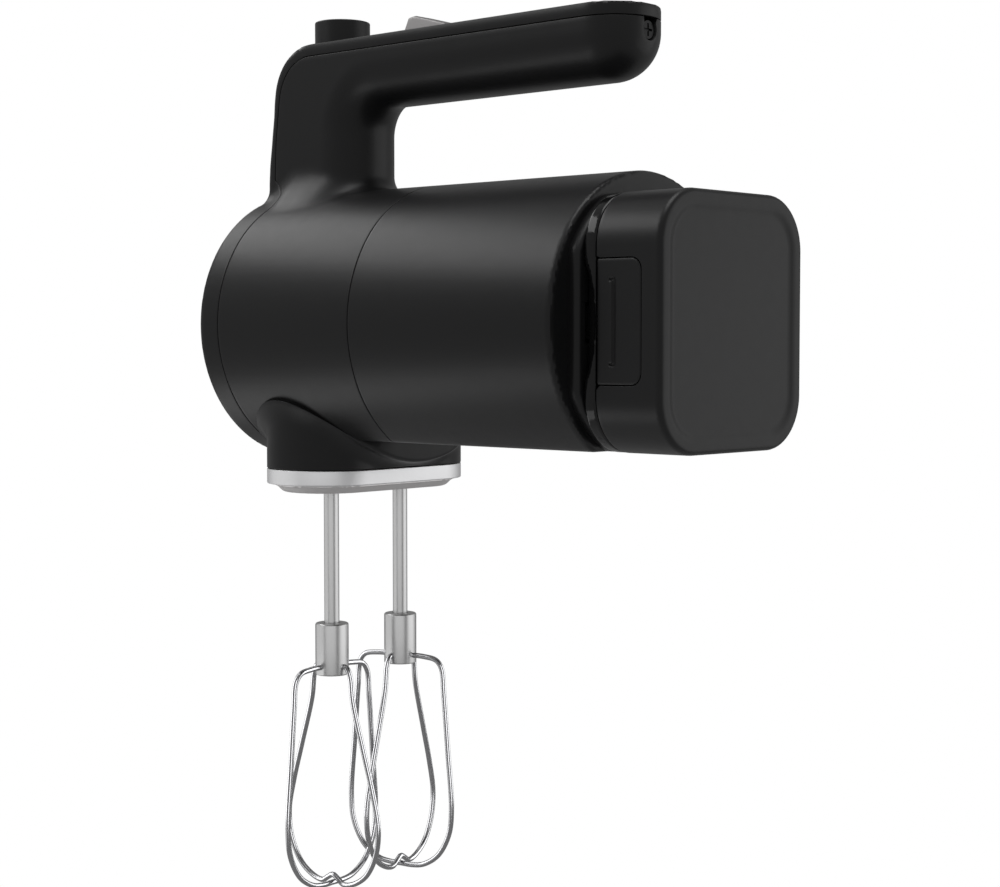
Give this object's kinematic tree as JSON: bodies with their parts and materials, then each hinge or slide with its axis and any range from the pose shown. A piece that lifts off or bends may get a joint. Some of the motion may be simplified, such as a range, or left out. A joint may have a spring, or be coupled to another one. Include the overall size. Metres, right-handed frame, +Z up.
{
  "type": "cordless hand mixer",
  "caption": "Cordless hand mixer with a round barrel, an open C-shaped grip, a clip-on rear battery, a silver collar and wire beaters that spin towards each other.",
  "frame": {"origin": "middle of the hand grip, where the fingers and palm hold the mixer", "axes": "+Z up along the beaters, +X towards the battery along the barrel, -Y to the left side"},
  "size_m": [0.2053, 0.1, 0.3236],
  "materials": {
    "body_plastic": "satin black moulded ABS with a fine spark texture",
    "gloss_band": "polished black",
    "silver_trim": "satin brushed",
    "beater_steel": "polished stainless steel",
    "shaft_steel": "ground",
    "black_steel": "black oxide",
    "inner_nylon": "glass-filled nylon",
    "bush_bronze": "sintered bronze",
    "copper": "bare and enamelled copper",
    "ferrite": "sintered ferrite and carbon",
    "gear_acetal": "moulded acetal",
    "board_green": "solder mask",
    "cell_wrap": "shrink film",
    "lead_jacket": "silicone jacket"
  },
  "bodies": {
    "root": {"main_housing": "body_plastic", "front_cover": "body_plastic", "motor_housing": "body_plastic", "grip_screw": "black_steel", "dock_plate": "body_plastic", "dock_screw_1": "black_steel", "dock_screw_2": "black_steel", "dock_terminals": "copper", "gearbox_neck": "body_plastic", "collar_trim": "silver_trim", "collar_base": "silver_trim", "motor_can": "black_steel", "motor_end_cap": "inner_nylon", "magnet_left": "ferrite", "magnet_right": "ferrite", "brush_left": "ferrite", "brush_right": "ferrite", "motor_bearing_front": "bush_bronze", "motor_bearing_rear": "bush_bronze", "gearbox_frame": "inner_nylon", "upper_bush_left": "bush_bronze", "upper_bush_right": "bush_bronze", "lower_bush_left": "bush_bronze", "lower_bush_right": "bush_bronze", "worm_end_bush": "bush_bronze", "eject_spring": "shaft_steel", "speed_switch": "inner_nylon", "control_board": "board_green", "switch_lead": "lead_jacket"},
    "rotor": {"worm_shaft": "shaft_steel", "armature_core": "black_steel", "armature_windings": "copper", "commutator": "copper", "motor_fan": "inner_nylon"},
    "drive_left": {"gear_left": "gear_acetal"},
    "drive_right": {"gear_right": "gear_acetal"},
    "beater_left": {"beater_left_shaft": "beater_steel", "beater_left_ferrule": "beater_steel", "beater_left_wide_loop": "beater_steel", "beater_left_cross_loop": "beater_steel"},
    "beater_right": {"beater_right_shaft": "beater_steel", "beater_right_ferrule": "beater_steel", "beater_right_wide_loop": "beater_steel", "beater_right_cross_loop": "beater_steel"},
    "ejector": {"eject_button": "body_plastic", "push_rod": "shaft_steel", "ejector_yoke": "inner_nylon"},
    "slider": {"speed_slider": "silver_trim"},
    "battery": {"battery_collar": "gloss_band", "battery_case": "body_plastic", "cell_1": "cell_wrap", "cell_2": "cell_wrap", "cell_3": "cell_wrap", "cell_holder": "inner_nylon", "battery_board": "board_green", "latch_spring_left": "shaft_steel", "latch_spring_right": "shaft_steel"},
    "latch_left": {"latch_left": "body_plastic"},
    "latch_right": {"latch_right": "body_plastic"}
  },
  "joints": [
    {"name": "drive_left_spin", "type": "hinge", "parent": "root", "child": "drive_left", "pos_m": [-0.0638, -0.0179, -0.0923], "axis": [0, 0, 1], "continuous": true},
    {"name": "drive_right_spin", "type": "hinge", "parent": "root", "child": "drive_right", "pos_m": [-0.0638, 0.0179, -0.0923], "axis": [0, 0, 1], "continuous": true},
    {"name": "rotor_spin", "type": "hinge", "parent": "root", "child": "rotor", "pos_m": [-0.0638, 0, -0.0923], "axis": [1, 0, 0], "continuous": true},
    {"name": "beater_left_pull", "type": "slide", "parent": "drive_left", "child": "beater_left", "axis": [0, 0, -1], "range_m": [0, 0.042]},
    {"name": "beater_right_pull", "type": "slide", "parent": "drive_right", "child": "beater_right", "axis": [0, 0, -1], "range_m": [0, 0.042]},
    {"name": "eject_press", "type": "slide", "parent": "root", "child": "ejector", "axis": [0, 0, -1], "range_m": [0, 0.005], "stiffness_N_per_m": 900, "springref_m": -0.002, "deforming": ["eject_spring"]},
    {"name": "speed_slide", "type": "slide", "parent": "root", "child": "slider", "axis": [1, 0, 0], "range_m": [0, 0.014]},
    {"name": "battery_slide", "type": "slide", "parent": "root", "child": "battery", "axis": [1, 0, 0], "range_m": [0, 0.03]},
    {"name": "latch_left_press", "type": "slide", "parent": "battery", "child": "latch_left", "axis": [0, 1, 0], "range_m": [0, 0.0025], "stiffness_N_per_m": 700, "springref_m": -0.001},
    {"name": "latch_right_press", "type": "slide", "parent": "battery", "child": "latch_right", "axis": [0, -1, 0], "range_m": [0, 0.0025], "stiffness_N_per_m": 700, "springref_m": -0.001}
  ],
  "couplings": [
    {"joint": "drive_right_spin", "follows": "drive_left_spin", "ratio": -1},
    {"joint": "rotor_spin", "follows": "drive_left_spin", "ratio": 20}
  ]
}
